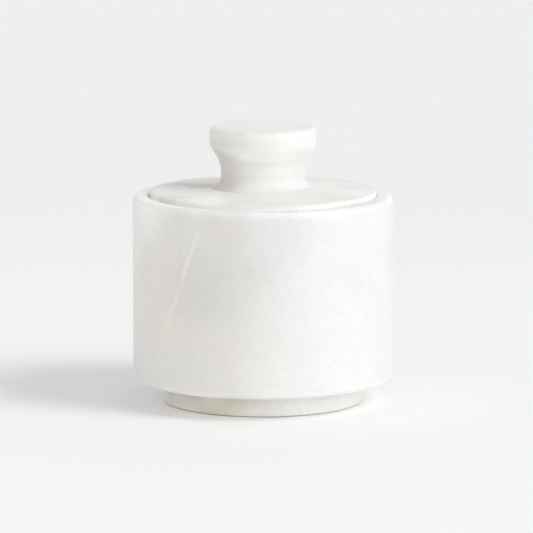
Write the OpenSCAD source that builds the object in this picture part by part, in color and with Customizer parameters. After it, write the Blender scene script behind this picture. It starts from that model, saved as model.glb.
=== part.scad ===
// Lidded salt cellar in white marble: a straight, thick-walled jar on a smaller foot, and a lid
// with a flared knob that drops into the jar's mouth. Millimetres, +Z up, with the origin on the
// table under the middle of the foot. Everything but the four pads is turned about the Z axis.

/* [Jar] */
// Outside diameter of the jar
jar_d = 95; // [80:1:130]
// Height of the jar, from its underside to its rim
jar_h = 67.7; // [50:0.1:100]
// Thickness of the rim beside the lid
rim_t = 5.7; // [4:0.1:9]
// Width of the ledge that the lid sits on
ledge_w = 4.8; // [3:0.1:8]
// Thickness of the stone under the bowl
floor_t = 10; // [6:0.5:16]
// Radius of the cove between the bowl's wall and its floor
bowl_cove = 8; // [2:0.5:14]
// Radius of the jar's lower outside edge
jar_edge = 2.2; // [0.5:0.1:5]
// Radius of the rim's outside edge
rim_edge = 2.2; // [0.5:0.1:2.5]
// Radius of the rim's inside edge
mouth_edge = 0.4; // [0.3:0.1:1.4]

/* [Foot] */
// How far the foot stands back from the jar's wall
foot_inset = 10.9; // [4:0.1:20]
// Height of the foot
foot_h = 8.1; // [4:0.1:16]
// Radius of the foot's lower edge
foot_edge = 0.4; // [0.3:0.1:2]
// Diameter of the boss that centres the foot in the jar's underside
foot_boss_d = 44; // [20:1:48]
// Height of that boss
foot_boss_h = 2.4; // [1:0.1:3]

/* [Pads] */
// Number of pads under the foot
pad_count = 4; // [3:1:6]
// Diameter of a pad
pad_d = 10; // [6:0.5:12]
// Thickness of a pad
pad_t = 1.6; // [1:0.1:2.5]
// How far a pad stands out of the foot
pad_proud = 0.2; // [0.2:0.1:0.8]
// Distance from the foot's edge to the middle of a pad
pad_inset = 9; // [7.5:0.5:12]

/* [Lid] */
// Thickness of the lid at its edge
lid_t = 8; // [6:0.1:12]
// How far the lid's edge stands above the rim
lid_proud = 1.6; // [0:0.1:3]
// Rise of the lid's dome from its edge to its middle
lid_crown = 1.5; // [0.5:0.1:4]
// Radius of the lid's upper edge
lid_edge = 1.1; // [0.3:0.1:2.5]
// Height of the boss under the lid, which keeps it centred in the bowl
lid_boss_h = 3; // [1:0.1:6]

/* [Knob] */
// Diameter of the knob at its widest
knob_d = 39; // [32:0.1:56]
// Height of the knob
knob_h = 22.9; // [20:0.1:34]
// Diameter of the knob where it meets the lid
knob_base_d = 38.4; // [32:0.1:44]
// Diameter of the knob's waist
waist_d = 30.3; // [20:0.1:31]
// Height of the waist above the lid
waist_h = 4.3; // [3:0.1:7]
// Height above the waist at which the knob is first at its widest
flare_h = 12.6; // [8:0.1:13]
// Radius of the knob's upper edge
knob_edge = 2.5; // [0.5:0.1:4]
// Rise of the knob's top from its edge to its middle
knob_crown = 0.4; // [0.1:0.1:2]

/* [Pin] */
// Diameter of the pin that holds the knob to the lid
pin_d = 6; // [4:0.5:8]
// Length of pin inside the lid
pin_in_lid = 8; // [4:0.5:8]
// Length of pin inside the knob
pin_in_knob = 10; // [6:0.5:14]

/* [Clearances] */
// Gap all round between the lid and the rim
lid_gap = 0.3; // [0.3:0.1:2.5]
// Gap all round between the lid's boss and the bowl
boss_gap = 0.6; // [0.3:0.1:1.5]
// Gap under the lid, over its ledge
seat_gap = 0.2; // [0.1:0.05:0.4]
// Gap round a bonded boss, pin or pad
bond_gap = 0.1; // [0.05:0.05:0.2]
// Gap past the end of a bonded boss or pin
end_gap = 0.4; // [0.2:0.1:1]

/* [Hidden] */
pad_names = [for (i = [1:pad_count]) str("foot_pad_", i)];

// Sides of a round, steps along an arc of an outline, and the overrun of every cut
round_sides = 96;
arc_steps = 8;
overrun = 1;

// Small bevels: at the ledge's inner corner, under the lid's boss, and at the pin's ends
ledge_bevel = 0.5;
boss_bevel = 0.8;
pin_bevel = 0.6;

// Height of the thin upright edge round the knob's base
root_lip = 0.15;

// Share of the knob's flare that curves outward before it turns back to upright
flare_share = 0.77;

// First pad's direction from the middle, in degrees, and the angle between two pads
pad_turn = 45;
pad_step = 360 / pad_count;

// Heights, counted from the table
foot_z = pad_proud;
jar_z = foot_z + foot_h;
rim_z = jar_z + jar_h;
seat_z = rim_z + lid_proud - lid_t - seat_gap;
bowl_z = jar_z + floor_t;
lid_z = seat_z + seat_gap;
lid_edge_z = lid_z + lid_t;

// Radii, counted from the outside in
jar_r = jar_d / 2;
mouth_r = jar_r - rim_t;
bowl_r = mouth_r - ledge_w;
foot_r = jar_r - foot_inset;
foot_boss_r = foot_boss_d / 2;
lid_r = mouth_r - lid_gap;
lid_boss_r = bowl_r - boss_gap;
pad_r = pad_d / 2;
pad_place_r = foot_r - pad_inset;
pin_r = pin_d / 2;

// Height of a dome over its edge, at radius r, and the points of its outline from its edge
// in to radius inner_r. A dome is part of a ball that rises by crown between edge and middle.
function dome_rise(r, edge_r, crown) =
    let (ball_r = (edge_r ^ 2 + crown ^ 2) / (2 * crown)) sqrt(ball_r ^ 2 - r ^ 2) - ball_r + crown;
function dome(edge_r, inner_r, edge_z, crown) =
    [for (i = [1:arc_steps]) let (r = edge_r + (inner_r - edge_r) * i / arc_steps)
        [r, edge_z + dome_rise(r, edge_r, crown)]];

// The lid's dome, the knob's radii, and the height of the flat that the knob stands on
dome_edge_r = lid_r - lid_edge;
knob_r = knob_d / 2;
knob_base_r = knob_base_d / 2;
waist_r = waist_d / 2;
knob_z = lid_edge_z + dome_rise(knob_base_r, dome_edge_r, lid_crown);

// The knob's flare is two arcs, which meet on a slope and are upright at their other ends. Their
// radii add up to that of one arc that starts upright and leans out by the flare's width over
// its height, which turns through flare_angle.
flare_angle = 2 * atan((knob_r - waist_r) / flare_h);
flare_arcs_r = flare_h / sin(flare_angle);
cove_r = flare_share * flare_arcs_r;
swell_r = (1 - flare_share) * flare_arcs_r;

// The knob's root is a quarter of an ellipse: level where it leaves the thin edge round the
// base, and upright where it reaches the waist
root = [for (i = [0:arc_steps]) let (a = 90 * i / arc_steps)
    [knob_base_r - (knob_base_r - waist_r) * sin(a), knob_z + waist_h - (waist_h - root_lip) * cos(a)]];

// Points of an outline along an arc about [x, z], from one angle to another
function arc(x, z, r, from, to) =
    [for (i = [0:arc_steps]) let (a = from + (to - from) * i / arc_steps) [x + r * cos(a), z + r * sin(a)]];

module turned(outline) {
    rotate_extrude($fn = round_sides)
        polygon(outline);
}

module round_cut(r, low_z, high_z) {
    translate([0, 0, low_z])
        cylinder(r = r, h = high_z - low_z, $fn = round_sides);
}

// The jar: a thick wall with a ledge inside the rim for the lid, and a shallow socket
// in the underside that the foot's boss is bonded into
module jar_body() {
    color("whitesmoke")
        difference() {
            turned(concat(
                [[0, jar_z]],
                arc(jar_r - jar_edge, jar_z + jar_edge, jar_edge, -90, 0),
                arc(jar_r - rim_edge, rim_z - rim_edge, rim_edge, 0, 90),
                arc(mouth_r + mouth_edge, rim_z - mouth_edge, mouth_edge, 90, 180),
                [[mouth_r, seat_z], [bowl_r + ledge_bevel, seat_z], [bowl_r, seat_z - ledge_bevel]],
                arc(bowl_r - bowl_cove, bowl_z + bowl_cove, bowl_cove, 0, -90),
                [[0, bowl_z]]
            ));
            round_cut(foot_boss_r + bond_gap, jar_z - overrun, jar_z + foot_boss_h + end_gap);
        }
}

// The foot: a thick disc with a boss on top that centres it, and a counterbore for each pad
module foot_disc() {
    color("linen")
        difference() {
            turned(concat(
                [[0, foot_z]],
                arc(foot_r - foot_edge, foot_z + foot_edge, foot_edge, -90, 0),
                [[foot_r, jar_z], [foot_boss_r, jar_z], [foot_boss_r, jar_z + foot_boss_h], [0, jar_z + foot_boss_h]]
            ));
            for (i = [1:pad_count])
                at_pad(i)
                    round_cut(pad_r + bond_gap, -overrun, pad_t);
        }
}

module at_pad(i) {
    turn = pad_turn + pad_step * (i - 1);
    translate([pad_place_r * cos(turn), pad_place_r * sin(turn), 0])
        children();
}

// One round pad, bonded into its counterbore and standing a little out of the foot
module foot_pad(i) {
    color("gainsboro")
        at_pad(i)
            cylinder(r = pad_r, h = pad_t, $fn = round_sides);
}

// The lid: a thick plate that drops into the mouth, gently domed round a flat for the knob,
// with a boss below that keeps it centred and a blind hole for the pin
module lid_plate() {
    color("white")
        difference() {
            turned(concat(
                [[0, lid_z - lid_boss_h], [lid_boss_r - boss_bevel, lid_z - lid_boss_h]],
                [[lid_boss_r, lid_z - lid_boss_h + boss_bevel], [lid_boss_r, lid_z], [lid_r, lid_z]],
                arc(lid_r - lid_edge, lid_edge_z - lid_edge, lid_edge, 0, 90),
                dome(dome_edge_r, knob_base_r, lid_edge_z, lid_crown),
                [[0, knob_z]]
            ));
            round_cut(pin_r + bond_gap, knob_z - pin_in_lid - end_gap, knob_z + overrun);
        }
}

// The knob: a waist close to the lid, a flare up to an upright band, and a nearly flat top
module lid_knob() {
    top_z = knob_z + knob_h;
    wide_z = knob_z + waist_h + flare_h;
    band_z = top_z - knob_crown - knob_edge;
    color("ghostwhite")
        difference() {
            turned(concat(
                [[0, knob_z], [knob_base_r, knob_z]],
                root,
                arc(waist_r + cove_r, knob_z + waist_h, cove_r, 180, 180 - flare_angle),
                arc(knob_r - swell_r, wide_z, swell_r, -flare_angle, 0),
                arc(knob_r - knob_edge, band_z, knob_edge, 0, 90),
                dome(knob_r - knob_edge, 0, top_z - knob_crown, knob_crown)
            ));
            round_cut(pin_r + bond_gap, knob_z - overrun, knob_z + pin_in_knob + end_gap);
        }
}

// The steel pin that centres the knob and ties it to the lid
module knob_pin() {
    low_z = knob_z - pin_in_lid;
    high_z = knob_z + pin_in_knob;
    color("silver")
        turned([
            [0, low_z], [pin_r - pin_bevel, low_z], [pin_r, low_z + pin_bevel],
            [pin_r, high_z - pin_bevel], [pin_r - pin_bevel, high_z], [0, high_z]
        ]);
}

jar_body();
foot_disc();
for (i = [1:pad_count]) foot_pad(i);
lid_plate();
lid_knob();
knob_pin();
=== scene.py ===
"""A lidded salt cellar turned from white marble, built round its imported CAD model. Metres, +Z up,
the table at Z = 0 and the cellar's axis on the Z axis."""

import math

import bpy
import numpy as np
from mathutils import Matrix, Vector


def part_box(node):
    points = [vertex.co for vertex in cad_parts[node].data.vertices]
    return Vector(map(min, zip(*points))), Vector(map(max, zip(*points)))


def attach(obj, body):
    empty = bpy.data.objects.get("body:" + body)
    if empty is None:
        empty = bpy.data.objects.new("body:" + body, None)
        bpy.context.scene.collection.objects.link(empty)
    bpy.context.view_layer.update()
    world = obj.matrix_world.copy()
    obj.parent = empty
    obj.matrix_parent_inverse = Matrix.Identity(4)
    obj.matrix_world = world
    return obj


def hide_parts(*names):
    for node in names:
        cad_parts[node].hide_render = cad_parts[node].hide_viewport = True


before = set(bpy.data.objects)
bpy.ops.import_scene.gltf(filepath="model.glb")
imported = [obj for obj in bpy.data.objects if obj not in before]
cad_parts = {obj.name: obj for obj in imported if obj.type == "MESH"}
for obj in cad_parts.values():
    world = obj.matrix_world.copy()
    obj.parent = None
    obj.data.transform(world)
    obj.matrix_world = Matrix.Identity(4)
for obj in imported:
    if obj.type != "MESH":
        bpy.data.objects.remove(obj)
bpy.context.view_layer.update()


# The foot. A thick marble disc, smaller than the jar, which carries it clear of the table. It is
# turned from the same stone, honed on its edge and left as sawn below, and a boss on top of it is
# bonded into the jar's underside. Its stone is warmer and paler than the jar's: partly its own
# tone, partly painted light that lifts the shade under the jar's overhang.

foot_edge = 0.0004
foot_top_edge = 0.0004
foot_boss_r = 0.022
sawn_inset = 0.004


def turned_size(node):
    """Greatest radius from the Z axis, lowest and highest Z of a CAD node, in metres."""
    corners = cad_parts[node].data.vertices
    co = np.empty(len(corners) * 3)
    corners.foreach_get("co", co)
    x, y, z = co.reshape(-1, 3).T
    return float(np.hypot(x, y).max()), float(z.min()), float(z.max())


def bend(r, z, radius, start, end, steps=8):
    """Outline points on an arc about (r, z), between two angles in degrees: radius times the
    cosine of an angle is added to r, and radius times its sine to z."""
    a = np.radians(np.linspace(start, end, steps + 1))
    return np.column_stack([r + radius * np.cos(a), z + radius * np.sin(a)])


def filled(outline, longest):
    """The outline with points added evenly along each stretch, so that the way from one point to
    the next is never over `longest`."""
    ends = np.hypot(*np.diff(outline, axis=0).T)
    counts = np.maximum(1, np.ceil(ends / longest)).astype(int)
    stretch = np.repeat(np.arange(len(counts)), counts)
    first = np.repeat(np.cumsum(counts) - counts, counts)
    along = (np.arange(counts.sum()) - first) / counts[stretch]
    points = outline[stretch] + along[:, None] * (outline[stretch + 1] - outline[stretch])
    return np.vstack([points, outline[-1:]])


def hand_finish(points, depth, seed, waves=12, shortest=0.009, longest=0.040):
    """The slow unevenness that grinding by hand leaves, at each point: depth times the mean of
    some sine waves in space. Each is the sine of 2 pi times the way along its direction over its
    length, plus its phase, and its direction, length and phase are drawn from the seed."""
    draw = np.random.default_rng(seed)
    direction = draw.normal(size=(waves, 3))
    direction /= np.linalg.norm(direction, axis=1)[:, None]
    number = 2 * np.pi / draw.uniform(shortest, longest, waves)
    phase = draw.uniform(0, 2 * np.pi, waves)
    return depth * np.sin(points @ (direction * number[:, None]).T + phase).mean(axis=1)


def turned(name, stretches, seed, depth=0.00012, longest=0.0015, sectors=288):
    """A turned solid. Its outline, of points (r, z) from the axis round the stone to the axis
    again, is carried once round Z: (r, z) at angle a goes to (r cos a, r sin a, z). Each stretch
    is (honed, points), with honed from 0, as it came off the wheel, to 1, and the surface is
    moved along r by the unevenness of a hand finish, which dies away close to the axis."""
    same_point = 1e-7
    calm_r = 0.004
    sharp_angle = 32

    outline = np.vstack([points for _, points in stretches])
    honed = np.concatenate([np.full(len(points), share, float) for share, points in stretches])
    length = np.concatenate([[0], np.cumsum(np.hypot(*np.diff(outline, axis=0).T))])
    keep = np.concatenate([[True], np.diff(length) > same_point])
    outline, honed, length = outline[keep], honed[keep], length[keep]
    rings = filled(outline, longest)
    at = np.concatenate([[0], np.cumsum(np.hypot(*np.diff(rings, axis=0).T))])
    ring_honed = np.interp(at, length, honed)

    inner = rings[1:-1]
    angle = np.arange(sectors) * 2 * np.pi / sectors
    r, a = np.meshgrid(inner[:, 0], angle, indexing="ij")
    z = np.broadcast_to(inner[:, 1, None], r.shape)
    round_points = np.stack([r * np.cos(a), r * np.sin(a), z], axis=-1).reshape(-1, 3)
    push = hand_finish(round_points, depth, seed).reshape(r.shape) * np.minimum(1, r / calm_r)
    r = r + push
    grid = np.stack([r * np.cos(a), r * np.sin(a), z], axis=-1).reshape(-1, 3)
    poles = np.array([[0, 0, rings[0, 1]], [0, 0, rings[-1, 1]]])
    points = np.vstack([grid, poles])

    ring = np.arange(len(inner) - 1)[:, None] * sectors
    here = np.arange(sectors)[None, :]
    beside = (here + 1) % sectors
    above = ring + sectors
    quads = np.stack([ring + here, ring + beside, above + beside, above + here], -1).reshape(-1, 4)
    top = (len(inner) - 1) * sectors
    first_pole, last_pole = len(grid), len(grid) + 1
    here, beside = here[0], beside[0]
    low_cap = np.stack([np.full(sectors, first_pole), beside, here], -1)
    high_cap = np.stack([np.full(sectors, last_pole), top + here, top + beside], -1)

    mesh = bpy.data.meshes.new(name)
    mesh.from_pydata(points, [], quads.tolist() + low_cap.tolist() + high_cap.tolist())
    mesh.attributes.new("honed", "FLOAT", "POINT")
    values = np.concatenate([np.repeat(ring_honed[1:-1], sectors), ring_honed[[0, -1]]])
    mesh.attributes["honed"].data.foreach_set("value", values.astype(np.float32))
    mesh.shade_smooth()
    mesh.set_sharp_from_angle(angle=math.radians(sharp_angle))
    piece = bpy.data.objects.new(name, mesh)
    bpy.context.scene.collection.objects.link(piece)
    return piece


class Finish:
    """A material under way, with short calls that add its nodes and join them."""

    def __init__(self, name):
        self.material = bpy.data.materials.new(name)
        self.material.use_nodes = True
        self.tree = self.material.node_tree
        self.tree.nodes.clear()
        self.place = self.add("ShaderNodeTexCoord").outputs["Object"]

    def add(self, kind, inputs=(), **settings):
        """A new node, with its settings, and each input set to a value or joined to a socket."""
        node = self.tree.nodes.new(kind)
        for key, value in settings.items():
            setattr(node, key, value)
        for key, value in dict(inputs).items():
            if isinstance(value, bpy.types.NodeSocket):
                self.tree.links.new(value, node.inputs[key])
            else:
                node.inputs[key].default_value = value
        return node

    def sum(self, operation, *values):
        """The result of one arithmetic step on sockets or numbers."""
        return self.add("ShaderNodeMath", enumerate(values), operation=operation).outputs[0]

    def vector(self, operation, *values):
        """The result of one step of vector arithmetic: a number from LENGTH, DISTANCE and
        DOT_PRODUCT, and otherwise a vector."""
        node = self.add("ShaderNodeVectorMath", enumerate(values), operation=operation)
        gives_number = operation in ("LENGTH", "DISTANCE", "DOT_PRODUCT")
        return node.outputs["Value" if gives_number else "Vector"]

    def step(self, value, low, high, start=0.0, end=1.0):
        """A smooth step from `start` to `end` as value goes from low to high."""
        inputs = {
            "Value": value, "From Min": low, "From Max": high, "To Min": start, "To Max": end,
        }
        node = self.add("ShaderNodeMapRange", inputs, interpolation_type="SMOOTHSTEP")
        return node.outputs["Result"]

    def blend(self, share, first, second, way="MIX"):
        """The first colour with `share` of the second mixed in, or with another way of blending."""
        node = self.add("ShaderNodeMix", data_type="RGBA", blend_type=way)
        factor, first_colour, second_colour = node.inputs[0], node.inputs[6], node.inputs[7]
        for socket, value in ((factor, share), (first_colour, first), (second_colour, second)):
            if isinstance(value, bpy.types.NodeSocket):
                self.tree.links.new(value, socket)
            else:
                socket.default_value = value if isinstance(value, float) else (*value, 1)
        return node.outputs[2]

    def noise(self, where, size, detail=4.0, rough=0.55, twist=0.0):
        """Soft noise between about 0.25 and 0.75, whose largest lumps are `size` metres across."""
        return self.add("ShaderNodeTexNoise", {
            "Vector": where, "Scale": 1 / size,
            "Detail": detail, "Roughness": rough, "Distortion": twist,
        })

    def moved(self, shift=(0, 0, 0), turn=(0, 0, 0)):
        """The piece's own coordinates, shifted, and turned by degrees about X, Y and Z."""
        return self.add("ShaderNodeMapping", {
            "Vector": self.place, "Location": shift, "Rotation": [math.radians(t) for t in turn],
        }).outputs["Vector"]

    def wandered(self, noise, amount):
        """The piece's own coordinates, pushed about by a noise's colour, up to half of `amount`
        each way."""
        push = self.vector("MULTIPLY", noise.outputs["Color"], (amount,) * 3)
        centred = self.vector("SUBTRACT", push, (amount / 2,) * 3)
        return self.vector("ADD", self.place, centred)

    def done(self, shader):
        """The finished material, with this shader on its surface."""
        self.add("ShaderNodeOutputMaterial", {"Surface": shader.outputs["BSDF"]})
        return self.material


def marble(name, milk, smoke, block, stone_and_painted_patches=(), veins=(), painted_light_and_shade_bands=(), cloud_share=0.5):
    """Honed white marble. `milk` is the clear stone and `smoke` its clouds. `block` shifts the
    piece within the quarry's pattern. A band is (height, reach, colour, strength), a paler or
    darker stretch all round, a patch is (middle, reach, colour, strength), a soft place of its
    own, and a vein is (middle, direction across it, half width, half length, colour, strength),
    broken here and there. Each is strongest in its middle and fades smoothly to nothing at its
    edge. The colours were fitted under this scene's lamps: the veins and part of the patch
    colours are the stone's own marks, while every band and the rest of the patch colours are
    painted light and shade, painted highlights and painted shadows, and the comments on the
    lists say which. The glow is the little light that goes into the stone and comes out beside
    where it went in."""
    bedding = (20, 35, 50)
    drift_size, patch_sway, vein_sway = 0.045, 0.020, 0.007
    cloud_size, cloud_span = 0.050, (0.42, 0.72)
    mottle_size, mottle_span = 0.009, (0.35, 0.65)
    mottle_share, mottle_grey = 0.11, (0.60, 0.59, 0.57)
    patch_core, vein_full, vein_end, vein_breaks = 0.15, 0.7, 1.1, (0.38, 0.62)
    crystal_size, crystal_tone, crystal_roughness, crystal_depth = 0.0011, 0.032, 0.08, 0.00001
    fine_size, fine_tone, fine_depth = 0.0022, 0.10, 0.00003
    rough_off_wheel, rough_honed = 0.62, 0.36
    relief_strength, stone_ior = 0.5, 1.49
    glow, glow_depth, glow_colour = 0.25, 0.0007, (1.0, 0.93, 0.84)

    stone = Finish(name)
    in_block = stone.moved(shift=block, turn=bedding)
    drift = stone.noise(stone.moved(shift=block), drift_size, detail=5.0, rough=0.6)
    folded = stone.wandered(drift, patch_sway)
    swayed = stone.wandered(drift, vein_sway)

    clouds = stone.noise(in_block, cloud_size, detail=7.0, rough=0.58, twist=0.8).outputs["Fac"]
    colour = stone.blend(stone.step(clouds, *cloud_span, 0.0, cloud_share), milk, smoke)
    mottle = stone.noise(in_block, mottle_size, detail=5.0, rough=0.65).outputs["Fac"]
    colour = stone.blend(stone.step(mottle, *mottle_span, 0.0, mottle_share), colour, mottle_grey)

    z = stone.add("ShaderNodeSeparateXYZ", {0: stone.place}).outputs["Z"]
    for level, reach, tint, strength in painted_light_and_shade_bands:
        offset = stone.sum("ABSOLUTE", stone.sum("SUBTRACT", z, level))
        colour = stone.blend(stone.step(offset, 0.0, reach, strength, 0.0), colour, tint)
    for middle, reach, tint, strength in stone_and_painted_patches:
        away = stone.vector("DISTANCE", folded, middle)
        share = stone.step(away, patch_core * reach, reach, strength, 0.0)
        colour = stone.blend(share, colour, tint)
    for middle, across, half_width, half_length, tint, strength in veins:
        across = Vector(across).normalized()
        offset = stone.vector("DOT_PRODUCT", swayed, across)
        offset = stone.sum("ABSOLUTE", stone.sum("SUBTRACT", offset, across.dot(Vector(middle))))
        away = stone.vector("DISTANCE", swayed, middle)
        along = stone.step(away, vein_full * half_length, vein_end * half_length, 1.0, 0.0)
        broken = stone.sum("MULTIPLY", stone.step(mottle, *vein_breaks), along)
        share = stone.sum("MULTIPLY", broken, stone.step(offset, 0.0, half_width, strength, 0.0))
        colour = stone.blend(share, colour, tint)

    grain = stone.add("ShaderNodeTexVoronoi", {
        "Vector": stone.place, "Scale": 1 / crystal_size, "Randomness": 1.0,
    })
    crystal = stone.add("ShaderNodeSeparateColor", {"Color": grain.outputs["Color"]}).outputs[0]
    fine = stone.noise(stone.place, fine_size, detail=3.0, rough=0.7).outputs["Fac"]
    darkening = stone.sum(
        "ADD", stone.sum("MULTIPLY", crystal, crystal_tone),
        stone.sum("MULTIPLY", fine, fine_tone),
    )
    speckle = stone.sum("SUBTRACT", 1 + (crystal_tone + fine_tone) / 2, darkening)
    speckle = stone.add("ShaderNodeCombineColor", {k: speckle for k in range(3)}).outputs[0]
    colour = stone.blend(1.0, colour, speckle, "MULTIPLY")

    honed = stone.add("ShaderNodeAttribute", attribute_name="honed").outputs["Fac"]
    roughness = stone.sum(
        "ADD", stone.sum("MULTIPLY", crystal, crystal_roughness),
        stone.step(honed, 0.0, 1.0, rough_off_wheel, rough_honed),
    )
    height = stone.sum(
        "ADD", stone.sum("MULTIPLY", fine, fine_depth),
        stone.sum("MULTIPLY", crystal, crystal_depth),
    )
    relief = stone.add("ShaderNodeBump", {
        "Strength": relief_strength, "Distance": 1.0, "Height": height,
    })
    shader = stone.add("ShaderNodeBsdfPrincipled", {
        "Base Color": colour, "Roughness": roughness, "Normal": relief.outputs["Normal"],
        "IOR": stone_ior, "Subsurface Weight": glow, "Subsurface Radius": glow_colour,
        "Subsurface Scale": glow_depth,
    })
    return stone.done(shader)


def finished(piece, material, body, node):
    """Gives a piece its material, puts it on its body and lets it stand for its CAD node."""
    piece.data.materials.append(material)
    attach(piece, body)
    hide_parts(node)


foot_r, foot_z, foot_boss_z = turned_size("foot_disc")
jar_r, jar_z, rim_z = turned_size("jar_body")

foot = turned("foot", [
    (0, [[0, foot_z], [foot_r - sawn_inset, foot_z]]),
    (0.6, bend(foot_r - foot_edge, foot_z + foot_edge, foot_edge, -90, 0)),
    (0.6, [[foot_r, jar_z - foot_top_edge]]),
    (0, bend(foot_r - foot_top_edge, jar_z - foot_top_edge, foot_top_edge, 0, 90, steps=4)),
    (0, [[foot_boss_r, jar_z], [foot_boss_r, foot_boss_z], [0, foot_boss_z]]),
], seed=3)
foot_marble = marble(
    "foot marble", block=(0.31, 0.12, 0.27),
    # The clear stone is paler and warmer than the jar's: partly its own tone, partly painted light
    # against the shade under the jar.
    milk=(0.845, 0.835, 0.812), smoke=(0.775, 0.755, 0.71),
    stone_and_painted_patches=[
        # Browner on the left of the front, the side away from the lamps: partly the stone's own
        # tone, partly painted shade. Darker at the bottom edge, painted contact shade where the foot
        # meets the table, and a paler place right under the jar, painted light that lifts the shade
        # of its overhang.
        ((-0.018, -0.032, 0.003), 0.026, (0.73, 0.68, 0.59), 0.9),
        ((0.001, -0.0366, -0.001), 0.009, (0.76, 0.74, 0.70), 0.6),
        ((-0.033, -0.016, 0.001), 0.010, (0.66, 0.61, 0.54), 0.6),
        ((-0.017, -0.0325, 0.0095), 0.009, (0.95, 0.90, 0.81), 0.9),
        ((-0.016, -0.033, -0.002), 0.012, (0.58, 0.53, 0.46), 0.45),
    ],
    veins=[
        ((0.010, -0.030, 0.004), (0.6, 0.1, 0.8), 0.0016, 0.040, (0.60, 0.55, 0.46), 0.3),
    ],
    painted_light_and_shade_bands=[
        # Painted light at the top, close under the jar, that lifts the shade of its overhang.
        # Tone fitted under these lamps, at the top, close under the jar.
        (0.0088, 0.0036, (1.0, 0.98, 0.94), 1.0),
    ],
)
finished(foot, foot_marble, "cellar", "foot_disc")


# The jar. One block of white marble, turned straight outside and bored out inside, with a ledge
# under the rim that the lid sits on. The outside is honed and its edges eased by hand, and the
# mouth, ledge and bowl keep the finer marks of the boring.

rim_t = 0.0057
ledge_w = 0.0048
seat_depth = 0.0066
floor_t = 0.010
bowl_cove = 0.008
jar_edge = 0.0022
rim_edge = 0.0022
mouth_edge = 0.0004
ledge_bevel = 0.0005
bond_gap = 0.0001
end_gap = 0.0004

mouth_r = jar_r - rim_t
bowl_r = mouth_r - ledge_w
seat_z = rim_z - seat_depth
bowl_z = jar_z + floor_t
socket_r = foot_boss_r + bond_gap
socket_z = foot_boss_z + end_gap

jar = turned("jar", [
    (0, [[0, socket_z], [socket_r, socket_z], [socket_r, jar_z], [jar_r - 2 * jar_edge, jar_z]]),
    (1, bend(jar_r - jar_edge, jar_z + jar_edge, jar_edge, -90, 0, steps=10)),
    (1, bend(jar_r - rim_edge, rim_z - rim_edge, rim_edge, 0, 90)),
    (1, bend(mouth_r + mouth_edge, rim_z - mouth_edge, mouth_edge, 90, 180, steps=6)),
    (0.2, [[mouth_r, seat_z], [bowl_r + ledge_bevel, seat_z], [bowl_r, seat_z - ledge_bevel]]),
    (0.2, bend(bowl_r - bowl_cove, bowl_z + bowl_cove, bowl_cove, 0, -90, steps=12)),
    (0.2, [[0, bowl_z]]),
], seed=5)
jar_marble = marble(
    "jar marble", block=(0.05, 0.02, 0.11),
    milk=(0.744, 0.748, 0.745), smoke=(0.695, 0.684, 0.664),
    stone_and_painted_patches=[
        # A wide warm cloud on the left of the front, the side away from the lamps, with smaller grey
        # and
        # mauve ones in it: partly the stone's own clouds, partly the warm tint and darkness of the
        # shade there, painted in.
        ((-0.036, -0.034, 0.042), 0.048, (0.755, 0.728, 0.682), 1.0),
        ((-0.022, -0.042, 0.046), 0.022, (0.685, 0.668, 0.635), 0.8),
        ((-0.010, -0.046, 0.022), 0.022, (0.73, 0.705, 0.672), 0.7),
        ((-0.012, -0.0455, 0.068), 0.016, (0.68, 0.65, 0.625), 0.6),
        ((-0.008, -0.047, 0.048), 0.023, (0.66, 0.655, 0.64), 0.7),
        # Near the middle of the front, a paler place low down and a cool one under the rim.
        ((0.002, -0.047, 0.018), 0.016, (0.84, 0.825, 0.80), 0.25),
        ((0.009, -0.046, 0.069), 0.012, (0.68, 0.70, 0.71), 0.45),
        # Painted light and shade: paler on the left side and at the rim's left end, painted light
        # where the lamps don't reach, and darker at the rim's right end and front, painted down
        # where the lamps' highlight falls. Tone fitted under these lamps, at the left side and at
        # both ends of the rim.
        ((-0.0465, -0.009, 0.058), 0.018, (0.82, 0.80, 0.77), 0.7),
        ((-0.041, -0.022, 0.0765), 0.021, (0.95, 0.93, 0.90), 0.75),
        ((0.037, -0.024, 0.076), 0.022, (0.735, 0.735, 0.728), 0.8),
        ((0.024, -0.041, 0.0772), 0.011, (0.79, 0.79, 0.782), 0.65),
        # Two clouds at the back, and a cool one in the middle of the front.
        ((0.015, 0.045, 0.052), 0.025, (0.68, 0.67, 0.65), 0.6),
        ((-0.022, 0.042, 0.024), 0.022, (0.70, 0.68, 0.65), 0.6),
        ((0.012, -0.046, 0.036), 0.024, (0.745, 0.748, 0.725), 0.6),
    ],
    veins=[
        # The fine pale vein on the left of the front, and three at the back and the sides.
        ((-0.0296, -0.0357, 0.0466), (0.72, -0.58, -0.38), 0.0012, 0.027, (0.93, 0.915, 0.87), 0.38),
        ((0.020, 0.043, 0.040), (0.5, 0.3, 0.8), 0.0016, 0.035, (0.62, 0.60, 0.57), 0.40),
        ((-0.036, 0.030, 0.045), (0.8, 0.2, -0.55), 0.0012, 0.030, (0.90, 0.885, 0.85), 0.45),
        ((0.045, 0.014, 0.030), (0.2, -0.7, 0.7), 0.0018, 0.022, (0.62, 0.60, 0.57), 0.35),
    ],
    painted_light_and_shade_bands=[
        # Painted light: paler eased edges, a painted highlight at the rim, and painted light thrown
        # up from the table at the wall's bottom. Tone fitted under these lamps: paler eased edges,
        # at the rim and at the wall's bottom.
        (0.0768, 0.0042, (0.88, 0.875, 0.865), 0.9),
        (0.0083, 0.0028, (0.92, 0.91, 0.895), 0.85),
    ],
)
finished(jar, jar_marble, "cellar", "jar_body")


# The pads. Four small round rubber pads, pressed and bonded into counterbores under the foot,
# which stand a little out of the stone so that it neither slides nor scratches the table.

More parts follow.
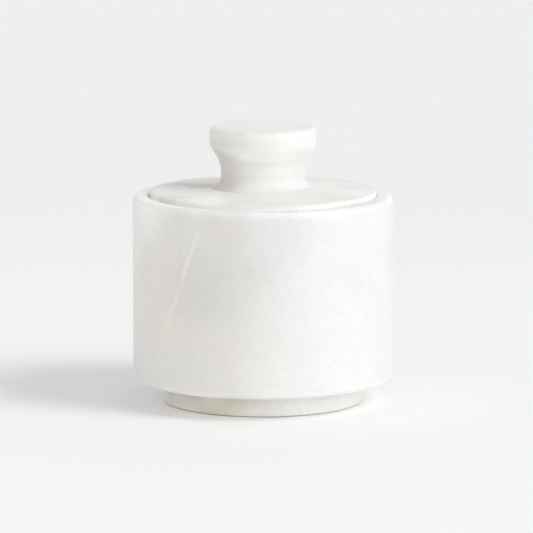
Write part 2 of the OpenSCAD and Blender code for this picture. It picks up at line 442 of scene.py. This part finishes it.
pad_edge = 0.0002
pad_unevenness = 0.00002
pad_spacing = 0.0008
pad_sectors = 64
stipple_size, stipple_depth = 0.0006, 0.0001
dust_size, dust_share = 0.004, 0.5
grey_rubber = (0.27, 0.265, 0.26)
stone_dust = (0.40, 0.385, 0.36)

rubber = Finish("pad rubber")
stipple = rubber.noise(rubber.place, stipple_size, detail=2.0).outputs["Fac"]
dust = rubber.noise(rubber.place, dust_size, detail=5.0, rough=0.7).outputs["Fac"]
dusty = rubber.step(dust, 0.4, 0.7, 0.0, dust_share)
grip = rubber.add("ShaderNodeBump", {"Strength": 0.6, "Distance": stipple_depth, "Height": stipple})
pad_rubber = rubber.done(rubber.add("ShaderNodeBsdfPrincipled", {
    "Base Color": rubber.blend(dusty, grey_rubber, stone_dust),
    "Roughness": rubber.step(stipple, 0.3, 0.7, 0.75, 0.9),
    "Normal": grip.outputs["Normal"],
}))

for number in range(1, 5):
    node = f"foot_pad_{number}"
    low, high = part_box(node)
    centre = (low + high) / 2
    pad_r = (high.x - low.x) / 2
    pad = turned(f"pad_{number}", [
        (0, [[0, low.z]]),
        (0, bend(pad_r - pad_edge, low.z + pad_edge, pad_edge, -90, 0, steps=4)),
        (0, [[pad_r, high.z], [0, high.z]]),
    ], seed=20 + number, depth=pad_unevenness, longest=pad_spacing, sectors=pad_sectors)
    pad.data.transform(Matrix.Translation((centre.x, centre.y, 0)))
    finished(pad, pad_rubber, "cellar", node)


# The lid. A thick marble plate that drops into the mouth with a gap all round, gently domed round
# a flat for the knob. A boss below it keeps it centred in the bowl, and a blind hole in its middle
# takes the knob's pin.

lid_t = 0.008
lid_edge = 0.0011
lid_crown = 0.0015
lid_bevel = 0.0003
lid_boss_h = 0.003
boss_gap = 0.0006
boss_bevel = 0.0008
knob_base_r = 0.0192

lid_r, lid_boss_z, knob_z = turned_size("lid_plate")
pin_r, pin_z, pin_top_z = turned_size("knob_pin")
pin_hole_r = pin_r + bond_gap
lid_z = lid_boss_z + lid_boss_h
lid_edge_z = lid_z + lid_t
lid_boss_r = bowl_r - boss_gap


def dome(edge_r, inner_r, edge_z, crown, steps=16):
    """Outline points of a shallow dome, a part of a ball that rises by `crown` from its edge to
    its middle: the ball's radius is (edge radius squared + crown squared) / (2 crown), and z is
    the ball's height at each r."""
    ball_r = (edge_r**2 + crown**2) / (2 * crown)
    r = np.linspace(edge_r, inner_r, steps + 1)
    return np.column_stack([r, edge_z + crown - ball_r + np.sqrt(ball_r**2 - r**2)])


lid = turned("lid", [
    (0.2, [[0, lid_boss_z], [lid_boss_r - boss_bevel, lid_boss_z]]),
    (0.2, [[lid_boss_r, lid_boss_z + boss_bevel], [lid_boss_r, lid_z]]),
    (0.2, [[lid_r - lid_bevel, lid_z], [lid_r, lid_z + lid_bevel]]),
    (1, bend(lid_r - lid_edge, lid_edge_z - lid_edge, lid_edge, 0, 90)),
    (1, dome(lid_r - lid_edge, knob_base_r, lid_edge_z, lid_crown)),
    (0, [[pin_hole_r, knob_z], [pin_hole_r, pin_z - end_gap], [0, pin_z - end_gap]]),
], seed=7)
lid_marble = marble(
    "lid marble", block=(0.17, 0.33, 0.08),
    milk=(0.825, 0.815, 0.795), smoke=(0.74, 0.725, 0.70), cloud_share=0.35,
    stone_and_painted_patches=[
        # A greyer and a paler place on the left of the front.
        ((-0.034, -0.021, 0.077), 0.009, (0.66, 0.665, 0.66), 0.6),
        ((-0.018, -0.028, 0.078), 0.013, (0.93, 0.925, 0.91), 0.7),
        # The knob's cast shadow, painted brown on the lid beside the knob's root on the left.
        ((-0.0215, 0.0015, 0.0787), 0.0095, (0.52, 0.48, 0.42), 0.95),
        ((-0.0275, 0.0065, 0.0785), 0.0080, (0.60, 0.565, 0.51), 0.85),
        ((-0.0310, 0.0110, 0.0780), 0.0070, (0.66, 0.63, 0.59), 0.6),
        # On the right of the front, a greyer place, a paler one, and on the edge a darker place,
        # painted down where the lamps' highlight falls. On the right of the front, a greyer
        # place, a paler one, and tone fitted at the edge.
        ((0.024, -0.020, 0.078), 0.015, (0.73, 0.73, 0.70), 0.5),
        ((0.038, -0.010, 0.0785), 0.014, (0.92, 0.92, 0.91), 0.5),
        ((0.029, -0.027, 0.0757), 0.012, (0.80, 0.80, 0.785), 0.7),
    ],
    veins=[
        ((0.002, -0.0230, 0.078), (0.10, 1.0, 0.0), 0.0022, 0.050, (0.72, 0.64, 0.60), 0.5),
    ],
    painted_light_and_shade_bands=[
        # Painted light and shade: a paler side over the rim, painted light that lifts the shade of
        # the gap, and a duller line above it, painted down where the edge's highlight falls. Tone
        # fitted under these lamps: a paler side over the rim, and a duller line above it.
        (0.0756, 0.0013, (0.99, 0.98, 0.965), 0.9),
        (0.0771, 0.0009, (0.70, 0.695, 0.68), 0.62),
    ],
)
finished(lid, lid_marble, "lid", "lid_plate")


# The knob. One turned piece of marble with a waist just above the lid and a flare that swells to
# an upright band, so that two fingers and a thumb lift the lid by it. It is bonded to the lid.

knob_edge = 0.0025
knob_crown = 0.0004
root_lip = 0.00005
waist_r = 0.01515
waist_h = 0.0043
flare_h = 0.0126
flare_share = 0.77
root_steps = 14
knob_spacing = 0.0010

knob_r, _, knob_top_z = turned_size("lid_knob")

# The flare is two arcs that meet on a slant, a cove and then a swell. Together their radii are the
# flare's height over the sine of the angle that each of them turns, and flare_share is the cove's.
flare_angle = 2 * math.degrees(math.atan2(knob_r - waist_r, flare_h))
flare_arcs_r = flare_h / math.sin(math.radians(flare_angle))
cove_r = flare_share * flare_arcs_r
swell_r = flare_arcs_r - cove_r
waist_z = knob_z + waist_h
band_z = knob_top_z - knob_crown - knob_edge

# The root is a quarter of an ellipse, from nearly level on the lid to upright at the waist.
root_turn = np.linspace(0, np.pi / 2, root_steps + 1)

knob = turned("knob", [
    (0, [[0, pin_top_z + end_gap], [pin_hole_r, pin_top_z + end_gap], [pin_hole_r, knob_z]]),
    (0, [[knob_base_r, knob_z]]),
    (1, np.column_stack([
        knob_base_r - (knob_base_r - waist_r) * np.sin(root_turn),
        waist_z - (waist_h - root_lip) * np.cos(root_turn),
    ])),
    (1, bend(waist_r + cove_r, waist_z, cove_r, 180, 180 - flare_angle, steps=14)),
    (1, bend(knob_r - swell_r, waist_z + flare_h, swell_r, -flare_angle, 0)),
    (1, bend(knob_r - knob_edge, band_z, knob_edge, 0, 90)),
    (1, dome(knob_r - knob_edge, 0, knob_top_z - knob_crown, knob_crown)),
], seed=11, longest=knob_spacing)
knob_marble = marble(
    "knob marble", block=(0.44, 0.06, 0.19),
    milk=(0.79, 0.783, 0.765), smoke=(0.745, 0.733, 0.708),
    stone_and_painted_patches=[
        # Painted shade: darker under the flare on the left, where shade falls, and on the band's
        # right, painted down where the lamps' highlight falls. Tone fitted under these lamps,
        # under the flare on the left and on the band's right.
        ((-0.018, -0.009, 0.0898), 0.0150, (0.65, 0.63, 0.59), 0.85),
        ((0.014, -0.010, 0.0975), 0.012, (0.735, 0.73, 0.715), 0.6),
        # Painted shade at the root: brown on the left, the knob's own shadow painted on, greyer in
        # front, and darker on the right of the neck, painted down where the lamps' highlight falls.
        ((-0.016, 0.000, 0.0785), 0.016, (0.56, 0.51, 0.44), 0.88),
        ((0.008, -0.018, 0.078), 0.012, (0.67, 0.665, 0.655), 0.8),
        ((0.016, -0.009, 0.082), 0.014, (0.69, 0.69, 0.69), 0.7),
        # A paler top, painted light. A paler top, fitted too.
        ((0.000, 0.000, 0.108), 0.026, (0.89, 0.885, 0.87), 0.35),
    ],
    painted_light_and_shade_bands=[
        # Painted light and shade: paler under the upright band and on the flare below it, painted
        # light that lifts the shade under the flare, and greyer at the root, painted shade. Tone
        # fitted under these lamps: paler under the upright band, and greyer at the root.
        (0.0922, 0.0040, (1.0, 0.985, 0.96), 0.62),
        (0.0868, 0.0038, (0.86, 0.85, 0.83), 0.5),
        (0.0787, 0.0050, (0.70, 0.69, 0.67), 0.4),
    ],
)
finished(knob, knob_marble, "lid", "lid_knob")


# The pin. A plain turned steel dowel, bonded into the blind holes in lid and knob, which centres
# the knob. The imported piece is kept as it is, and given the finish of turned steel.

tool_mark_scale = 1600.0
mark_steel, bright_steel = (0.60, 0.60, 0.61), (0.66, 0.66, 0.665)

steel = Finish("pin steel")
tool_marks = steel.add("ShaderNodeTexWave", {
    "Vector": steel.place, "Scale": tool_mark_scale, "Distortion": 1.5, "Detail": 2.0,
}, wave_type="BANDS", bands_direction="Z").outputs["Fac"]
pin_steel = steel.done(steel.add("ShaderNodeBsdfPrincipled", {
    "Base Color": steel.blend(tool_marks, mark_steel, bright_steel),
    "Metallic": 1.0,
    "Roughness": steel.step(tool_marks, 0.0, 1.0, 0.28, 0.42),
}))
pin_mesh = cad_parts["knob_pin"].data
pin_mesh.materials.clear()
pin_mesh.materials.append(pin_steel)


# The table. A wide sheet of pale matt card, laid flat. It is painted a little lighter near the
# cellar than behind it, the fall of light across it painted in, and lightest just round the foot,
# painted light that lifts the foot's contact shadow.

floor_reach = 4.0
near_card = (0.915, 0.915, 0.915)
far_card = (0.850, 0.850, 0.850)
# The lightest card is painted light round the foot, against its contact shadow; the near and far
# cards paint in the fall of light across the table.
painted_light_ring_card = (0.945, 0.945, 0.942)
near_middle, near_until, far_from = (0.0, -0.25, 0.0), 0.25, 0.80
ring_full_r, ring_end_r = 0.042, 0.052

card = Finish("table card")
away = card.vector("DISTANCE", card.place, near_middle)
from_axis = card.vector("LENGTH", card.place)
painted_falloff_tone = card.blend(card.step(away, near_until, far_from), near_card, far_card)
painted_light_ring_share = card.step(from_axis, ring_full_r, ring_end_r, 1.0, 0.0)
table_card = card.done(card.add("ShaderNodeBsdfPrincipled", {
    "Base Color": card.blend(painted_light_ring_share, painted_falloff_tone, painted_light_ring_card),
    "Roughness": 0.9, "Specular IOR Level": 0.1,
}))
table_corners = [
    (x * floor_reach, y * floor_reach, 0) for x, y in ((-1, -1), (1, -1), (1, 1), (-1, 1))
]
table_mesh = bpy.data.meshes.new("table")
table_mesh.from_pydata(table_corners, [], [(0, 1, 2, 3)])
table_mesh.materials.append(table_card)
table = bpy.data.objects.new("table", table_mesh)
bpy.context.scene.collection.objects.link(table)


# The light. A pale room, brightest low round its walls and dim overhead, and three broad lamps:
# a high one on the right and a little in front, whose shadow falls to the left and slightly back,
# a weaker one below it close to the table, and a faint one straight in front.

# Each lamp is (name, bearing, height, width, brightness). The first three numbers are in degrees,
# and the bearing is counted from the front round to the right.
lamps = [
    ("high lamp", 65, 45, 24, 0.985),
    ("low lamp", 58, 10, 34, 0.67),
    ("front lamp", 0, 15, 34, 0.20),
]
# The room's light is the product of two smooth steps of the upward part of a direction, each
# (from, to, level below, level above): the walls over the table, and the dimmer ceiling.
walls_step = (0.10, 0.32, 0.30, 1.43)
ceiling_step = (0.42, 0.95, 1.0, 0.13)
room_seen = 0.863

for name, bearing, height, width, brightness in lamps:
    lamp_data = bpy.data.lights.new(name, "SUN")
    lamp_data.energy = brightness
    lamp_data.angle = math.radians(width)
    lamp = bpy.data.objects.new(name, lamp_data)
    bpy.context.scene.collection.objects.link(lamp)
    bearing, height = math.radians(bearing), math.radians(height)
    level_reach = math.cos(height)
    to_lamp = Vector((
        math.sin(bearing) * level_reach, -math.cos(bearing) * level_reach, math.sin(height),
    ))
    lamp.rotation_mode = "QUATERNION"
    lamp.rotation_quaternion = to_lamp.to_track_quat("Z", "Y")

world = bpy.data.worlds.new("room")
bpy.context.scene.world = world
world.use_nodes = True
nodes, links = world.node_tree.nodes, world.node_tree.links
nodes.clear()
direction = nodes.new("ShaderNodeSeparateXYZ")
links.new(nodes.new("ShaderNodeTexCoord").outputs["Generated"], direction.inputs[0])
levels = []
for low, high, start, end in (walls_step, ceiling_step):
    level = nodes.new("ShaderNodeMapRange")
    level.interpolation_type = "SMOOTHSTEP"
    for key, value in (("From Min", low), ("From Max", high), ("To Min", start), ("To Max", end)):
        level.inputs[key].default_value = value
    links.new(direction.outputs["Z"], level.inputs["Value"])
    levels.append(level.outputs["Result"])
room = nodes.new("ShaderNodeMath")
room.operation = "MULTIPLY"
links.new(levels[0], room.inputs[0])
links.new(levels[1], room.inputs[1])

# Seen directly or in a reflection, the room has one even level instead.
path = nodes.new("ShaderNodeLightPath")
seen = nodes.new("ShaderNodeMath")
seen.operation = "MAXIMUM"
links.new(path.outputs["Is Camera Ray"], seen.inputs[0])
links.new(path.outputs["Is Glossy Ray"], seen.inputs[1])
shown = nodes.new("ShaderNodeMapRange")
links.new(room.outputs[0], shown.inputs["To Min"])
shown.inputs["To Max"].default_value = room_seen
links.new(seen.outputs[0], shown.inputs["Value"])
background = nodes.new("ShaderNodeBackground")
background.inputs["Color"].default_value = (1, 1, 1, 1)
links.new(shown.outputs["Result"], background.inputs["Strength"])
links.new(background.outputs[0], nodes.new("ShaderNodeOutputWorld").inputs["Surface"])


# The camera. A long lens about 1.7 m in front of the cellar and 0.3 m above the table, aimed at
# half the cellar's height and just right of its middle.

camera_place = Vector((0.0, -1.6787, 0.3134))
camera_target = Vector((0.001355, 0.0, 0.0493))
camera_lens = 313.5
sensor_width = 36.0

camera_data = bpy.data.cameras.new("camera")
camera_data.lens = camera_lens
camera_data.sensor_width = sensor_width
camera = bpy.data.objects.new("camera", camera_data)
bpy.context.scene.collection.objects.link(camera)
camera.location = camera_place
camera.rotation_mode = "QUATERNION"
camera.rotation_quaternion = (camera_target - camera_place).to_track_quat("-Z", "Y")
bpy.context.scene.camera = camera
bpy.context.scene.view_settings.view_transform = "Standard"
